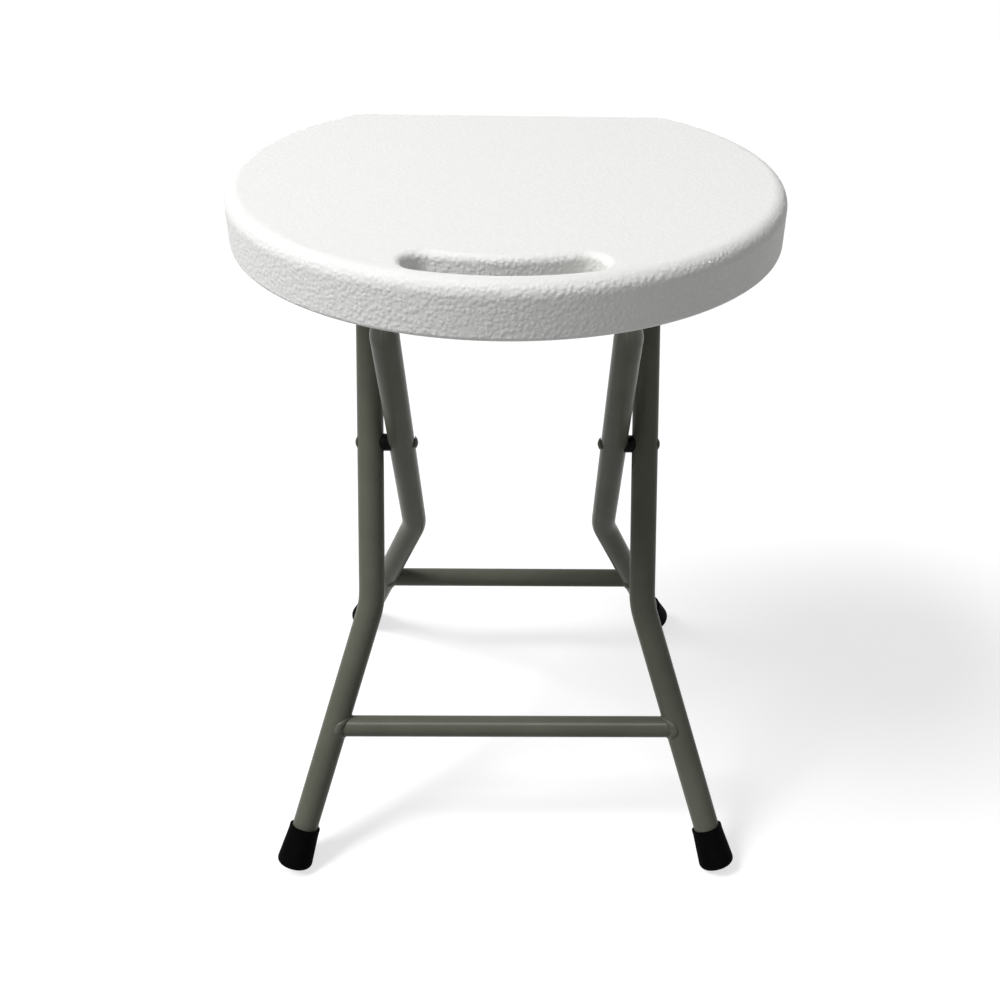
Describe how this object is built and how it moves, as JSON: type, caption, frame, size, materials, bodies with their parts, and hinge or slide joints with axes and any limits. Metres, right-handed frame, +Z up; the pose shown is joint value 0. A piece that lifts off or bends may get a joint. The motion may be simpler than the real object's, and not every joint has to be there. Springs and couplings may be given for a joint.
{
  "type": "folding stool",
  "caption": "Folding stool with a round moulded seat, straight back edge, hand grip and two crossed tube leg frames on rubber feet.",
  "frame": {"origin": "floor level, middle of the bounding box", "axes": "+Z up; +Y towards the straight back edge and the rear feet, hand grip at -Y; +X to the right seen from the hand grip"},
  "size_m": [0.33, 0.3266, 0.46],
  "materials": {
    "seat_plastic": "white moulded polyethylene with a fine leather grain",
    "frame_paint": "grey-green satin powder coat",
    "foot_rubber": "matt black rubber",
    "black_nylon": "black nylon",
    "black_plastic": "black moulded plastic, fine texture",
    "zinc_steel": "zinc plated"
  },
  "bodies": {
    "seat_body": {"seat": "seat_plastic", "hinge_bracket_left": "frame_paint", "hinge_bracket_right": "frame_paint", "hinge_rivet_left": "zinc_steel", "hinge_rivet_right": "zinc_steel", "hinge_washer_left": "black_nylon", "hinge_washer_right": "black_nylon", "catch_left": "black_plastic", "catch_right": "black_plastic", "seat_screws": "zinc_steel"},
    "outer_frame": {"outer_leg_left": "frame_paint", "outer_leg_right": "frame_paint", "outer_crossbar": "frame_paint", "front_foot_left": "foot_rubber", "front_foot_right": "foot_rubber", "cross_rivet_left": "frame_paint", "cross_rivet_right": "frame_paint", "cross_spacer_left": "black_nylon", "cross_spacer_right": "black_nylon"},
    "inner_frame": {"inner_leg_left": "frame_paint", "inner_leg_right": "frame_paint", "cross_bush_left": "black_nylon", "cross_bush_right": "black_nylon", "inner_crossbar": "frame_paint", "inner_top_rod": "frame_paint", "rear_foot_left": "foot_rubber", "rear_foot_right": "foot_rubber"}
  },
  "joints": [
    {"name": "seat_lift", "type": "hinge", "parent": "outer_frame", "child": "seat_body", "pos_m": [0, 0.08209, 0.4125], "axis": [-1, 0, 0], "range_deg": [0, 115]},
    {"name": "legs_close", "type": "hinge", "parent": "outer_frame", "child": "inner_frame", "pos_m": [0, 0.00869, 0.2715], "axis": [-1, 0, 0], "range_deg": [0, 50.9]}
  ],
  "couplings": [
    {"joint": "legs_close", "follows": "seat_lift", "ratio": 0.44261}
  ]
}
